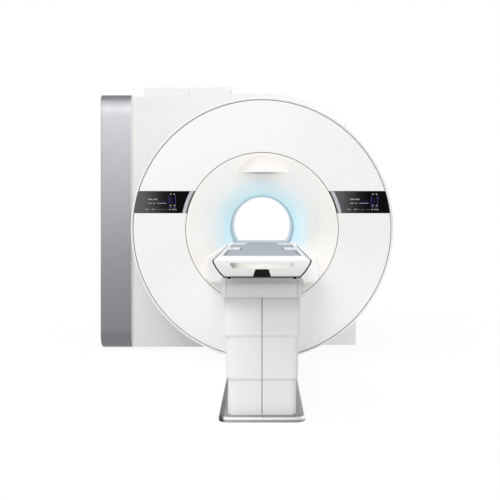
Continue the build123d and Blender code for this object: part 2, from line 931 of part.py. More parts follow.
# Bridge in the bore: a hollow segment under the deck, lying in the liner
with BuildSketch() as bridge_section:
    Circle(bore_radius - seat_gap)
    with Locations((0, deck_top - iso_height)):
        Rectangle(2 * bore_radius, bore_radius, align=(Align.CENTER, Align.MAX), mode=Mode.INTERSECT)
with BuildPart() as bore_bridge:
    with BuildSketch(across_bore(bridge_rear)):
        add(bridge_section.sketch)
        with BuildSketch(mode=Mode.PRIVATE) as bridge_hollow:
            add(bridge_section.sketch)
            offset(amount=-bridge_wall, mode=Mode.REPLACE)
        add(bridge_hollow.sketch, mode=Mode.SUBTRACT)
    extrude(amount=bridge_rear - bore_front)
save(bore_bridge, "bore_bridge")

# Table base plate on the floor
with BuildPart() as base_plate:
    with BuildSketch(Plane.XY):
        with Locations((0, column_middle_y)):
            RectangleRounded(2 * plate_half, plate_length, plate_corner)
    extrude(amount=plate_thickness)
    fillet(base_plate.faces().sort_by(Axis.Z)[-1].edges(), plate_edge_round)
save(base_plate, "base_plate")


def column_shell(stage, bottom, top):
    """A shell of the telescopic column, with a groove down the middle of its front."""
    half = column_half + stage * column_step
    length = column_length + 2 * stage * column_step
    with BuildPart() as shell:
        with BuildSketch(Plane.XY.offset(bottom)):
            with Locations((0, column_middle_y)):
                RectangleRounded(2 * half, length, column_corner)
                RectangleRounded(
                    2 * (half - column_wall),
                    length - 2 * column_wall,
                    column_corner - column_wall,
                    mode=Mode.SUBTRACT,
                )
            with Locations((0, column_middle_y - length / 2)):
                Rectangle(column_groove, 2 * column_groove_depth, mode=Mode.SUBTRACT)
        extrude(amount=top - bottom)
    return shell


save(column_shell(0, plate_thickness, lower_shell_top), "column_lower")
save(column_shell(1, middle_shell_bottom, middle_shell_top), "column_middle")
save(column_shell(2, upper_shell_bottom, chassis_bottom), "column_upper")


def mast_tube(stage, bottom, top):
    """A square tube of the telescopic mast. Each stage slides in the one below it."""
    width = mast_width - 2 * stage * (mast_wall + slide_gap)
    with BuildPart() as tube:
        with BuildSketch(Plane.XY.offset(bottom)):
            with Locations((0, column_middle_y)):
                Rectangle(width, width)
                Rectangle(width - 2 * mast_wall, width - 2 * mast_wall, mode=Mode.SUBTRACT)
        extrude(amount=top - bottom)
    return tube


# Mast: the lowest tube stands on the plate, and the middle one has a flange that carries its shell
mast_middle_bore = mast_width - 4 * mast_wall - 2 * slide_gap
save(mast_tube(0, plate_thickness, mast_lower_top), "mast_lower")
with BuildPart() as mast_middle:
    add(mast_tube(1, mast_middle_bottom, mast_middle_top).part)
    with BuildSketch(Plane.XY.offset(mast_middle_top - mast_flange)):
        with Locations((0, column_middle_y)):
            RectangleRounded(
                2 * (column_half + column_step - column_wall - seat_gap),
                column_length + 2 * (column_step - column_wall - seat_gap),
                column_corner - column_wall,
            )
            Rectangle(mast_middle_bore, mast_middle_bore, mode=Mode.SUBTRACT)
    extrude(amount=mast_flange)
save(mast_middle, "mast_middle")

# Lift drive: a gear motor that stands beside the mast
with BuildPart() as lift_drive:
    with BuildSketch(Plane.XY.offset(plate_thickness)):
        with Locations((0, column_middle_y + mast_width / 2 + 2 * lift_drive_radius)):
            Circle(lift_drive_radius)
            with Locations((0, -lift_drive_radius)):
                Rectangle(lift_drive_radius, 2 * lift_drive_radius - 2 * seat_gap)
    extrude(amount=lift_drive_height)
save(lift_drive, "lift_drive")

# Chassis: two beams and cross bars on a crown plate, with the top tube of the mast under it
with BuildPart() as table_chassis:
    add(mast_tube(2, mast_upper_bottom, chassis_bottom).part)
    with BuildSketch(Plane.XY.offset(chassis_bottom)):
        with Locations((0, column_middle_y)):
            RectangleRounded(
                2 * (column_half + 2 * column_step),
                column_length + 4 * column_step,
                column_corner,
            )
    extrude(amount=crown_thickness)
    chassis_front = column_front - 2 * column_step
    with BuildSketch(Plane.XY.offset(chassis_bottom)):
        for side in (-1, 1):
            with Locations((side * (beam_inner + beam_outer) / 2, (chassis_front + chassis_rear) / 2)):
                Rectangle(beam_outer - beam_inner, chassis_rear - chassis_front)
    extrude(amount=beam_height)
    bar_pitch = (chassis_rear - chassis_front - crossbar_width) / (crossbars - 1)
    with BuildSketch(Plane.XY.offset(chassis_bottom + crown_thickness)):
        for bar in range(crossbars):
            with Locations((0, chassis_front + crossbar_width / 2 + bar * bar_pitch)):
                Rectangle(2 * foot_half, crossbar_width)
    extrude(amount=top_bottom - chassis_bottom - crown_thickness)
save(table_chassis, "table_chassis")

# Cradle drive: a gear motor under the chassis, behind the column
with BuildPart() as cradle_motor:
    with BuildSketch(Plane.XY.offset(chassis_bottom - motor_height)) as motor_section:
        motor_rear = chassis_rear - crossbar_width
        with Locations((0, motor_rear - motor_length / 2)):
            Rectangle(motor_width, motor_length)
        fillet(motor_section.vertices(), motor_round)
    extrude(amount=motor_height)
save(cradle_motor, "cradle_motor")

# Housing round the chassis: one tapered ring of wall, cut into a front cover and two skirts
waist_to_bottom = degrees(atan((housing_half - housing_bottom_half) / (housing_waist - housing_bottom)))
waist_to_top = degrees(atan((housing_half - housing_top_half) / (top_bottom - housing_waist)))


def housing_plan(shrink):
    """The housing's plan at its waist, drawn inwards."""
    with BuildSketch(mode=Mode.PRIVATE) as plan:
        with Locations((0, (housing_front_y + housing_rear) / 2)):
            RectangleRounded(
                2 * (housing_half - shrink),
                housing_rear - housing_front_y - 2 * shrink,
                housing_corner - shrink,
            )
    return plan


with BuildPart() as housing:
    for shrink, mode in ((0, Mode.ADD), (housing_wall, Mode.SUBTRACT)):
        with BuildSketch(Plane.XY.offset(housing_waist)):
            add(housing_plan(shrink).sketch)
        extrude(amount=top_bottom - housing_waist, taper=waist_to_top, mode=mode)
        with BuildSketch(Plane.XY.offset(housing_waist)):
            add(housing_plan(shrink).sketch)
        extrude(amount=housing_bottom - housing_waist, taper=waist_to_bottom, mode=mode)


def housing_piece(left, right, front, rear):
    """What the housing has between two sides and two depths."""
    with BuildPart() as piece:
        add(housing.part)
        with BuildSketch(Plane.XY.offset(housing_bottom)):
            with Locations(((left + right) / 2, (front + rear) / 2)):
                Rectangle(right - left, rear - front)
        extrude(amount=top_bottom - housing_bottom, mode=Mode.INTERSECT)
    return piece


front_half = housing_seam_x - housing_seam / 2
skirt_start = housing_seam_x + housing_seam / 2
front_cover_rear = housing_front_y + housing_front_depth
save(housing_piece(-front_half, front_half, housing_front_y, front_cover_rear), "housing_front")
save(housing_piece(skirt_start, housing_half, housing_front_y, housing_rear), "right_skirt")
save(housing_piece(-housing_half, -skirt_start, housing_front_y, housing_rear), "left_skirt")

# Side rails of the tabletop: hollow wings with a ledge that the cradle slides on
side_length = sqrt((tip_half - foot_half) ** 2 + tip_rise**2)
side_middle = (
    (foot_half + tip_half) / 2 + cap_bulge * tip_rise / side_length,
    (top_bottom + tip_low) / 2 - cap_bulge * (tip_half - foot_half) / side_length,
)
with BuildSketch() as rail_section:
    with BuildLine():
        Line((rail_ledge, top_bottom), (foot_half, top_bottom))
        ThreePointArc((foot_half, top_bottom), side_middle, (tip_half, tip_low))
        Polyline(
            (tip_half, tip_low),
            (tip_half, tip_high),
            (rail_inner, rail_top),
            (rail_inner, deck_top),
            (rail_ledge, deck_top),
            (rail_ledge, top_bottom),
        )
    make_face()
with BuildSketch() as rail_hollow:
    add(rail_section.sketch)
    offset(amount=-rail_wall, mode=Mode.REPLACE)
with BuildPart() as right_rail:
    with BuildSketch(across(top_rear)):
        add(rail_section.sketch)
        add(rail_hollow.sketch, mode=Mode.SUBTRACT)
    extrude(amount=top_rear - cap_back)
save(right_rail, "right_rail")
with BuildPart() as left_rail:
    add(mirror(right_rail.part, about=Plane.YZ))
save(left_rail, "left_rail")

# End cap: a six-sided block with a hand slot, and a bay for the release paddle
with BuildSketch() as cap_section:
    with BuildLine():
        Line((0, top_bottom), (foot_half, top_bottom))
        ThreePointArc((foot_half, top_bottom), side_middle, (tip_half, tip_low))
        Polyline(
            (tip_half, tip_low),
            (tip_half, tip_high),
            (cap_top_half, cap_top),
            (0, cap_top),
            (0, top_bottom),
        )
    make_face()
    mirror(about=Plane.YZ)
paddle_axis_y = top_front + paddle_thickness / 2 + 1
paddle_axis_z = paddle_top - paddle_barrel
with BuildPart() as end_cap:
    with BuildSketch(across(cap_back)):
        add(cap_section.sketch)
    extrude(amount=cap_depth)
    fillet(end_cap.faces().sort_by(Axis.Y)[0].edges().group_by(Axis.Z)[-1], cap_round)
    with BuildSketch(across(top_front + slot_depth)) as slot_outline:
        with BuildLine():
            Polyline(
                (-slot_bottom_half, slot_bottom),
                (slot_bottom_half, slot_bottom),
                (slot_top_half, slot_top),
                (-slot_top_half, slot_top),
                close=True,
            )
        make_face()
        fillet(slot_outline.vertices(), slot_round)
    extrude(amount=slot_depth, mode=Mode.SUBTRACT)
    with BuildSketch(across(top_front + paddle_room)):
        with BuildLine():
            Polyline(
                (-paddle_bottom_half - paddle_gap, top_bottom),
                (paddle_bottom_half + paddle_gap, top_bottom),
                (paddle_top_half + paddle_gap, paddle_top + paddle_gap),
                (-paddle_top_half - paddle_gap, paddle_top + paddle_gap),
                close=True,
            )
        make_face()
    extrude(amount=paddle_room, mode=Mode.SUBTRACT)
    with BuildSketch(Plane.YZ):
        with Locations((paddle_axis_y, paddle_axis_z)):
            Circle(paddle_pin_radius + pin_gap)
    extrude(amount=paddle_top_half + paddle_pin_length + 2 * paddle_gap, both=True, mode=Mode.SUBTRACT)
save(end_cap, "end_cap")

# Release paddle, which swings inwards about the trunnions at its top
with BuildPart() as release_paddle:
    with BuildSketch(across(top_front + 1 + paddle_thickness)):
        with BuildLine():
            Polyline(
                (-paddle_bottom_half, top_bottom + 1),
                (paddle_bottom_half, top_bottom + 1),
                (paddle_top_half, paddle_axis_z),
                (-paddle_top_half, paddle_axis_z),
                close=True,
            )
        make_face()
    extrude(amount=paddle_thickness)
    with BuildSketch(Plane.YZ):
        with Locations((paddle_axis_y, paddle_axis_z)):
            Circle(paddle_barrel)
    extrude(amount=paddle_top_half, both=True)
    with BuildSketch(Plane.YZ):
        with Locations((paddle_axis_y, paddle_axis_z)):
            Circle(paddle_pin_radius)
    extrude(amount=paddle_top_half + paddle_pin_length, both=True)
save(release_paddle, "release_paddle")

# Edge trim: a rubber band under the end cap that runs on as a strip along both rails
with BuildPart() as edge_trim:
    with BuildSketch(across(top_front + trim_recess + trim_depth)):
        add(cap_section.sketch)
        offset(amount=trim_thickness, kind=Kind.INTERSECTION, mode=Mode.REPLACE)
        with Locations((-nub_x, top_bottom - trim_thickness), (nub_x, top_bottom - trim_thickness)):
            Circle(nub_radius)
        add(cap_section.sketch, mode=Mode.SUBTRACT)
        with Locations((0, tip_high)):
            Rectangle(4 * tip_half, 2 * tip_half, align=(Align.CENTER, Align.MAX), mode=Mode.INTERSECT)
    extrude(amount=trim_depth)
    with BuildSketch(across(top_rear)):
        for side in (-1, 1):
            with Locations((side * (tip_half + trim_thickness / 2), (tip_low + tip_high) / 2)):
                Rectangle(trim_thickness, tip_high - tip_low)
    extrude(amount=top_rear - top_front - trim_recess - trim_depth)
save(edge_trim, "edge_trim")

# Cradle board that carries the patient into the bore
with BuildPart() as cradle_board:
    with BuildSketch(Plane.XY.offset(cradle_bottom)) as cradle_plan:
        with Locations((0, (cradle_front + top_rear) / 2)):
            Rectangle(2 * cradle_half, top_rear - cradle_front)
        fillet(cradle_plan.vertices().group_by(Axis.Y)[-1], cradle_corner)
    extrude(amount=cradle_thickness)
    chamfer(cradle_board.faces().sort_by(Axis.Z)[0].edges().filter_by(Axis.Y), cradle_edge)
    with BuildSketch(Plane.XY.offset(cradle_top)) as head_blocks:
        head_block_half = (cradle_half - mattress_neck_half - socket_gap) / 2
        for side in (-1, 1):
            with Locations((side * (cradle_half - head_block_half), top_rear - mattress_neck / 2)):
                Rectangle(2 * head_block_half, mattress_neck)
        for side in (-1, 1):
            outer_corner = (side * cradle_half, top_rear)
            fillet(head_blocks.vertices().sort_by_distance(outer_corner)[0], cradle_corner)
    extrude(amount=head_block_height)
save(cradle_board, "cradle_board")


socket_x = (socket_inner + cradle_half) / 2
socket_y = (socket_front + socket_rear) / 2


def socket_plan(shrink):
    """The two bays for the coil sockets beside the mattress, drawn inwards."""
    with BuildSketch(mode=Mode.PRIVATE) as plan:
        for side in (-1, 1):
            with Locations((side * socket_x, socket_y)):
                Rectangle(cradle_half - socket_inner - 2 * shrink, socket_rear - socket_front - 2 * shrink)
    return plan


# Mattress, narrower at its head end and cut out round the coil sockets
with BuildPart() as mattress:
    with BuildSketch(Plane.XY.offset(cradle_top)):
        mattress_rear = top_rear - cradle_front_gap
        with Locations((0, (cradle_front + mattress_rear - mattress_neck) / 2)):
            Rectangle(2 * mattress_half, mattress_rear - mattress_neck - cradle_front)
        with Locations((0, mattress_rear - mattress_neck)):
            Rectangle(2 * mattress_neck_half, 2 * mattress_neck)
        add(socket_plan(0).sketch, mode=Mode.SUBTRACT)
    extrude(amount=mattress_thickness)
save(mattress, "mattress")

# Coil sockets: a housing each side, with two rounded ports in its top
for side, side_name in ((-1, "left"), (1, "right")):
    with BuildPart() as coil_socket:
        with BuildSketch(Plane.XY.offset(cradle_top)):
            add(socket_plan(socket_gap).sketch)
            with Locations((side * cradle_half, socket_y)):
                Rectangle(2 * cradle_half, socket_rear - socket_front, mode=Mode.INTERSECT)
        extrude(amount=socket_height)
        with BuildSketch(Plane.XY.offset(cradle_top + socket_height - socket_port_depth)):
            port_y = (socket_rear - socket_front) / 4
            for depth in (-port_y, port_y):
                with Locations((side * socket_x, socket_y + depth)):
                    RectangleRounded(socket_port_width, socket_port_length, socket_port_round)
        extrude(amount=socket_port_depth, mode=Mode.SUBTRACT)
    save(coil_socket, f"{side_name}_coil_socket")
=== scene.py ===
import json
from math import exp, pi

import bpy
from mathutils import Matrix, Vector

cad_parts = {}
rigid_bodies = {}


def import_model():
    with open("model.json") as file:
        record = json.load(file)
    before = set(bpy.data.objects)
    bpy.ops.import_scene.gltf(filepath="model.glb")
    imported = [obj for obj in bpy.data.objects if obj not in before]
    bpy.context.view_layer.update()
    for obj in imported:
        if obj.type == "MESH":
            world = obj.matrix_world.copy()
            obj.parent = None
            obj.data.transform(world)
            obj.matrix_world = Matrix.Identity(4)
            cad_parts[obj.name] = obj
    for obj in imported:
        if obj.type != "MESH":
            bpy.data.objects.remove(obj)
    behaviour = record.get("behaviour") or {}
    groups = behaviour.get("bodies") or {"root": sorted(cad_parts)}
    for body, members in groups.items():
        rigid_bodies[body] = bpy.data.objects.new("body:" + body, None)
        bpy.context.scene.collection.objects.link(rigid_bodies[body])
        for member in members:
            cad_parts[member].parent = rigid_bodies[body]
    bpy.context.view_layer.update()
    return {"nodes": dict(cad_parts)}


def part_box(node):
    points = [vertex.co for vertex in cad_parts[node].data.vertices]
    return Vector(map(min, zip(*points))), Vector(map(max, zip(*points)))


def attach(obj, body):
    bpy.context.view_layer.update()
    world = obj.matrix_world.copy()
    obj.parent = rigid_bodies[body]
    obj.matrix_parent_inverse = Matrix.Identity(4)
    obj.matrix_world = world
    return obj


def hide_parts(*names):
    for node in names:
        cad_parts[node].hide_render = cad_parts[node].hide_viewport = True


# The magnetic resonance scanner of the frame, dressed for a studio picture: white moulded covers
# round the bore, a lit funnel, two black displays, a silver side panel and the patient table.
# Lengths are in metres, unless a name or a comment says mm.
for leftover in list(bpy.data.objects):
    bpy.data.objects.remove(leftover)
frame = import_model()
nodes = frame["nodes"]
scene = bpy.context.scene

MM = 0.001
ISO_HEIGHT = 1.160  # the bore's axis above the floor
RING_FRONT = -0.950  # the front face of the ring of covers
THROAT_RADIUS = 0.30  # the funnel's inner end
FUNNEL_RADIUS = 0.66  # its outer end


# Colours and nodes
def linear(hex_colour):
    """The linear colour of an sRGB hex value."""
    channels = []
    for start in (1, 3, 5):
        value = int(hex_colour[start:start + 2], 16) / 255
        channels.append(value / 12.92 if value <= 0.04045 else ((value + 0.055) / 1.055) ** 2.4)
    return (*channels, 1.0)


def feed(tree, node, socket, value):
    """Sets a socket of a node, or links it to what feeds it."""
    if isinstance(value, bpy.types.NodeSocket):
        tree.links.new(value, node.inputs[socket])
    else:
        node.inputs[socket].default_value = value


def put(tree, kind, settings=None, sockets=None):
    """Adds a node with its settings and feeds its sockets."""
    node = tree.nodes.new(kind)
    for setting, value in (settings or {}).items():
        setattr(node, setting, value)
    for socket, value in (sockets or {}).items():
        feed(tree, node, socket, value)
    return node


def maths(tree, operation, *values):
    """The result of an operation on one or two values."""
    return put(tree, "ShaderNodeMath", {"operation": operation}, dict(enumerate(values))).outputs["Value"]


def product(tree, first, *others):
    """The product of two or more values."""
    for other in others:
        first = maths(tree, "MULTIPLY", first, other)
    return first


def vector_maths(tree, operation, output, *vectors):
    """The Vector or the Value that an operation on one or two vectors gives."""
    node = put(tree, "ShaderNodeVectorMath", {"operation": operation}, dict(enumerate(vectors)))
    return node.outputs[output]


def span(tree, value, low, high, start=0, end=1):
    """Maps a value from low..high to start..end, held at both ends."""
    return put(
        tree,
        "ShaderNodeMapRange",
        sockets={"Value": value, "From Min": low, "From Max": high, "To Min": start, "To Max": end},
    ).outputs["Result"]


def blended(tree, factor, first, second, blend="MIX"):
    """The colour that a factor makes of two."""
    return put(
        tree,
        "ShaderNodeMix",
        {"data_type": "RGBA", "blend_type": blend},
        {"Factor": factor, "A": first, "B": second},
    ).outputs["Result"]


def ramp_between(tree, factor, stops, easing="LINEAR"):
    """Colours along a factor, as (place, hex colour) stops."""
    ramp = put(tree, "ShaderNodeValToRGB", sockets={"Fac": factor})
    ramp.color_ramp.interpolation = easing
    elements = ramp.color_ramp.elements
    while len(elements) < len(stops):
        elements.new(0.5)
    for element, (place, colour) in zip(elements, stops):
        element.position = place
        element.color = linear(colour)
    return ramp.outputs["Color"]


def object_place(tree):
    """The Object coordinates."""
    return put(tree, "ShaderNodeTexCoord").outputs["Object"]


def one_of(tree, vector, axis):
    """The X, Y or Z of a vector."""
    return put(tree, "ShaderNodeSeparateXYZ", sockets={"Vector": vector}).outputs[axis]


def along(tree, axis, low, high, start=0, end=1):
    """Maps one Object coordinate from low..high to start..end."""
    return span(tree, one_of(tree, object_place(tree), axis), low, high, start, end)


def away_from(tree, axis, middle=0.0):
    """How far one Object coordinate is from a middle, to either side."""
    offset = maths(tree, "SUBTRACT", one_of(tree, object_place(tree), axis), middle)
    return maths(tree, "ABSOLUTE", offset)


def radius_from_axis(tree):
    """The distance of a point from the bore's axis."""
    centred = vector_maths(tree, "SUBTRACT", "Vector", object_place(tree), (0, 0, ISO_HEIGHT))
    flat = vector_maths(tree, "MULTIPLY", "Vector", centred, (1, 0, 1))
    return vector_maths(tree, "LENGTH", "Value", flat)


def grain(tree, size_mm, detail=3.0, stretch=(1, 1, 1)):
    """Noise whose blotches are about size_mm across."""
    mapping = put(tree, "ShaderNodeMapping", sockets={"Vector": object_place(tree), "Scale": stretch})
    return put(
        tree,
        "ShaderNodeTexNoise",
        sockets={"Vector": mapping.outputs["Vector"], "Scale": 0.6 / (size_mm * MM), "Detail": detail},
    ).outputs["Fac"]


# Finishes
def coated(ior, weight, roughness):
    """The shader values of a plastic or paint under a clear coat."""
    return {"IOR": ior, "Coat Weight": weight, "Coat Roughness": roughness}


def surfaced(name, shader_values, gloss, gloss_mm, relief, relief_mm, stretch=(1, 1, 1)):
    """A material with a range of roughness in patches, and a relief in mm of a given grain."""
    material = bpy.data.materials.new(name)
    material.use_nodes = True
    tree = material.node_tree
    tree.nodes.clear()
    rough = span(tree, grain(tree, gloss_mm, 4.0, stretch), 0.3, 0.7, gloss[0], gloss[1])
    height = grain(tree, relief_mm, 2.0, stretch)
    bump = put(tree, "ShaderNodeBump", sockets={"Strength": 0.6, "Distance": relief * MM, "Height": height})
    sockets = {"Roughness": rough, "Normal": bump.outputs["Normal"], **shader_values}
    shader = put(tree, "ShaderNodeBsdfPrincipled", sockets=sockets)
    put(tree, "ShaderNodeOutputMaterial", sockets={"Surface": shader.outputs["BSDF"]})
    return material, tree, shader


def mottled(name, shader_values, colour, shade, colour_mm, *surface):
    """A material as surfaced makes it, in blotches of two near colours."""
    material, tree, shader = surfaced(name, shader_values, *surface)
    tint = ramp_between(tree, grain(tree, colour_mm), ((0.35, shade), (0.65, colour)))
    feed(tree, shader, "Base Color", tint)
    return material, tree, shader


def glowing(tree, shader, colour, strength):
    """Gives a finish a little light of its own."""
    feed(tree, shader, "Emission Color", linear(colour) if isinstance(colour, str) else colour)
    feed(tree, shader, "Emission Strength", strength)


KNIT = {"IOR": 1.48, "Sheen Weight": 0.15, "Sheen Roughness": 0.4}
DULL_RUBBER = {"IOR": 1.5, "Specular IOR Level": 0.2}

# Finishes that are the same all over: slot, name, shader values, two near colours, their blotches
# in mm, range of roughness, its patches in mm, relief in mm, its grain in mm, and how it is drawn out.
even_finishes = (
    # Gel-coated glass-fibre covers: near white, with a clear gloss over a faint orange peel of 3 mm.
    (
        "cover_white", "gel_coated_fibreglass", coated(1.5, 0.6, 0.12),
        "#F0F0EF", "#EEEEED", 400, (0.38, 0.46), 60, 0.02, 3,
    ),
    # Service covers on the roof: the same gel coat, aged a shade greyer.
    (
        "roof_white", "gel_coated_fibreglass_roof", coated(1.5, 0.4, 0.16),
        "#E8E8E8", "#E5E5E5", 400, (0.4, 0.48), 60, 0.02, 3,
    ),
    # Keys: silicone rubber with a pale lilac pigment and a satin skin.
    (
        "key_lilac", "silicone_rubber_key", {"IOR": 1.41},
        "#CDCDD3", "#C7C7CE", 12, (0.45, 0.55), 6, 0.01, 0.8,
    ),
    # Seals in the round seams: grey EPDM rubber, dull.
    (
        "seal_grey", "epdm_rubber_seal", {"IOR": 1.5},
        "#525355", "#4C4D4F", 30, (0.6, 0.75), 12, 0.02, 1.2,
    ),
    # Frames and masts: powder-coated grey box section with a fine orange peel.
    (
        "frame_steel", "powder_coated_steel", {"IOR": 1.5},
        "#6E7175", "#66696D", 80, (0.5, 0.62), 15, 0.04, 1.5,
    ),
    # Vacuum vessel: rolled steel under a grey-white two-pack paint.
    (
        "magnet_steel", "painted_rolled_steel", coated(1.5, 0.15, 0.3),
        "#C9CCCE", "#C1C4C6", 250, (0.42, 0.55), 40, 0.05, 6,
    ),
    # Helium vessel: rolled aluminium plate, with the long streaks of the mill.
    (
        "helium_aluminium", "rolled_aluminium", {"Metallic": 1.0},
        "#BFC1C3", "#B3B5B8", 120, (0.3, 0.45), 4, 0.02, 2, (1, 0.05, 1),
    ),
    # Motors and drives: grey machine enamel over a cast body.
    (
        "motor_grey", "machine_enamel", {"IOR": 1.5},
        "#5A5D61", "#53565A", 40, (0.4, 0.55), 10, 0.06, 3,
    ),
    # Gradient coil: cast epoxy resin with a mottled amber filler.
    (
        "coil_resin", "cast_epoxy_resin", coated(1.55, 0.2, 0.2),
        "#7D6A4C", "#6B5A3F", 20, (0.3, 0.45), 12, 0.05, 4,
    ),
    # Coil former: wound glass-fibre tube, pale green, with the winding's fine ribs.
    (
        "coil_former", "wound_glass_fibre", {"IOR": 1.52},
        "#B9C2A6", "#ADB69A", 10, (0.35, 0.5), 4, 0.08, 3, (1, 0.08, 1),
    ),
    # Cradle board and the deck in the bore: carbon-faced sandwich under white paint, worn to a satin.
    (
        "deck_white", "painted_sandwich_board", {"IOR": 1.5},
        "#ECEDEE", "#E8E9EA", 200, (0.35, 0.45), 40, 0.01, 2,
    ),
    # Rails of the tabletop: moulded ABS in the covers' white.
    (
        "table_white", "moulded_abs_table", coated(1.53, 0.35, 0.18),
        "#F1F1F1", "#EEEEEE", 250, (0.36, 0.46), 40, 0.015, 1.5,
    ),
    # Release paddle: black glass-filled nylon with a spark-eroded grip.
    (
        "paddle_black", "glass_filled_nylon", {"IOR": 1.53, "Specular IOR Level": 0.12},
        "#0B0B0C", "#070708", 15, (0.45, 0.6), 5, 0.05, 1.0,
    ),
    # Edge trim: black EPDM rubber, dull.
    (
        "trim_rubber", "epdm_rubber_trim", DULL_RUBBER,
        "#17191B", "#131517", 20, (0.6, 0.75), 8, 0.03, 1.2,
    ),
    # Coil sockets: moulded polycarbonate, white.
    (
        "socket_white", "moulded_polycarbonate", coated(1.58, 0.3, 0.15),
        "#F0F2F4", "#ECEEF0", 60, (0.3, 0.4), 20, 0.01, 1.2,
    ),
    # Mattress cover: polyurethane-coated knit, grey-blue, its 1.5 mm leather grain drawn at 3 mm to show.
    (
        "mattress_cover", "polyurethane_coated_knit", KNIT,
        "#969FAA", "#9099A4", 90, (0.42, 0.55), 12, 0.12, 3,
    ),
)
finishes = {}
for slot_name, *values in even_finishes:
    finishes[slot_name] = mottled(*values)[0]

# Dock cowl: the covers' gel coat, with a painted glow of light on its right side.
finishes["cowl_white"], tree, shader = mottled(
    "gel_coated_fibreglass_cowl", coated(1.5, 0.4, 0.18), "#F3F3F2", "#F1F1F0", 400, (0.4, 0.48), 60, 0.02, 3,
)
glowing(tree, shader, "#F4F9FA", along(tree, "X", 0.1, 0.45, 0.0, 0.12))

# The covers behind the ring: the same gel coat, painted greyer at its left as shade, with painted light at
# its right.
finishes["body_white"], tree, shader = surfaced(
    "gel_coated_fibreglass_body", coated(1.5, 0.5, 0.14), (0.38, 0.46), 60, 0.02, 3,
)
tint = ramp_between(
    tree, along(tree, "X", -1.25, 1.0), ((0.0, "#DFDFDF"), (0.45, "#E6E6E6"), (1.0, "#F6F6F5")),
)
feed(tree, shader, "Base Color", tint)
glowing(tree, shader, "#F4F4F3", along(tree, "X", 0.3, 0.75, 0.0, 0.13))

# The funnel is the same gel coat with painted light: a glow of the ring's light and a cyan tint painted at
# its throat, dying away outwards and varied with the way each face turns to the key light. Its colour is
# painted darker where it faces the key light. The flat underside of its brow has painted shade, and a painted
# soft shadow of the brow lies on the cone below it.
finishes["funnel_white"], tree, shader = surfaced(
    "gel_coated_fibreglass_funnel", coated(1.5, 0.3, 0.2), (0.42, 0.5), 60, 0.02, 3,
)
reach = span(tree, radius_from_axis(tree), THROAT_RADIUS, FUNNEL_RADIUS)
normal = put(tree, "ShaderNodeNewGeometry").outputs["Normal"]
sideways = away_from(tree, "X")
under = product(
    tree,
    span(tree, one_of(tree, normal, "Z"), -0.93, -0.99),
    span(tree, sideways, 0.06, 0.23, 1, 0.1),
)
shadow = product(
    tree,
    along(tree, "Z", 1.53, 1.645),
    along(tree, "Z", 1.651, 1.655, 1, 0),
    span(tree, sideways, 0.03, 0.24, 1, 0),
)
towards_key = vector_maths(tree, "DOT_PRODUCT", "Value", normal, (-0.35, 0.0, 0.94))
turned = span(tree, towards_key, -0.8, 0.8)
tint = ramp_between(
    tree, reach, ((0.0, "#D9EDF3"), (0.25, "#E5EEF1"), (0.48, "#F4F2F1"), (0.7, "#F8F5F2")), "EASE",
)
# Painted shade: the colour is darker where the cone faces the key light.
painted_turn_shade = ramp_between(
    tree, turned, ((0.0, "#FFFFFF"), (0.35, "#FAFAFA"), (0.7, "#E7E7E5"), (1.0, "#E3E3E1")),
)
tint = blended(tree, 1.0, tint, painted_turn_shade, "MULTIPLY")
tint = blended(tree, under, tint, linear("#818385"))
tint = blended(tree, shadow, tint, linear("#E9E8E6"), "MULTIPLY")
feed(tree, shader, "Base Color", tint)
# Painted glow of the ring's light on the funnel.
ring_light = ramp_between(
    tree, reach, ((0.0, "#B8E2F0"), (0.3, "#D8EBF1"), (0.52, "#FAF6F2"), (1.0, "#FFFAF5")), "EASE",
)
above_axis = span(tree, reach, 0.25, 0.55, 0.95, 1.2)
beside_axis = span(tree, reach, 0.3, 0.6, 1.25, 1.1)
below_axis = span(tree, reach, 0.2, 0.5, 1.9, 0.95)
strength = product(
    tree,
    span(tree, reach, 0, 0.6, 0.27, 0.17),
    span(tree, under, 0, 1, 1, 0),
    span(tree, one_of(tree, normal, "Y"), -0.75, -0.95, 1, 0.75),
    span(tree, turned, 0.38, 0.58, span(tree, turned, 0.1, 0.25, above_axis, beside_axis), below_axis),
    span(tree, shadow, 0, 1, 1, 0.6),
)
glowing(tree, shader, ring_light, strength)

# Polished toughened glass over each display, with a painted grey reflection that fades to black towards the
# right, and a faint blue haze of the panel's own light round the marks.
for side, reflection_start, reflection_width, haze_middle in (
    ("left", -1.10, 0.36, -0.850), ("right", 0.62, 0.33, 0.906),
):
    finishes[side + "_display"], tree, shader = surfaced(
        "toughened_display_glass_" + side,
        {"IOR": 1.52, "Specular IOR Level": 0.05},
        (0.06, 0.1), 200, 0.004, 40,
    )
    tint = ramp_between(
        tree,
        along(tree, "X", reflection_start, reflection_start + reflection_width),
        ((0.0, "#5F5F60"), (0.21, "#575758"), (0.42, "#404041"), (0.66, "#1D1D1F"), (0.9, "#020203")),
    )
    feed(tree, shader, "Base Color", tint)
    haze = product(
        tree,
        span(tree, away_from(tree, "X", haze_middle), 0, 0.085, 1, 0),
        span(tree, away_from(tree, "Z", 1.392), 0, 0.030, 1, 0),
    )
    glowing(tree, shader, "#3434A8", span(tree, haze, 0, 1, 0, 0.07))

# The strips beside the displays: satin silver paint, and a black line of painted shade along the inner edge,
# at the seam.
finishes["strip_silver"], tree, shader = surfaced(
    "silver_paint_strip",
    {"Metallic": 0.35, "Coat Weight": 0.3, "Coat Roughness": 0.15},
    (0.36, 0.44), 20, 0.01, 1.5,
)
from_edge = span(tree, radius_from_axis(tree), 0.666, 0.686)
tint = ramp_between(tree, from_edge, ((0.0, "#2A2A2D"), (0.42, "#303033"), (0.5, "#B6B8BC")))
feed(tree, shader, "Base Color", tint)
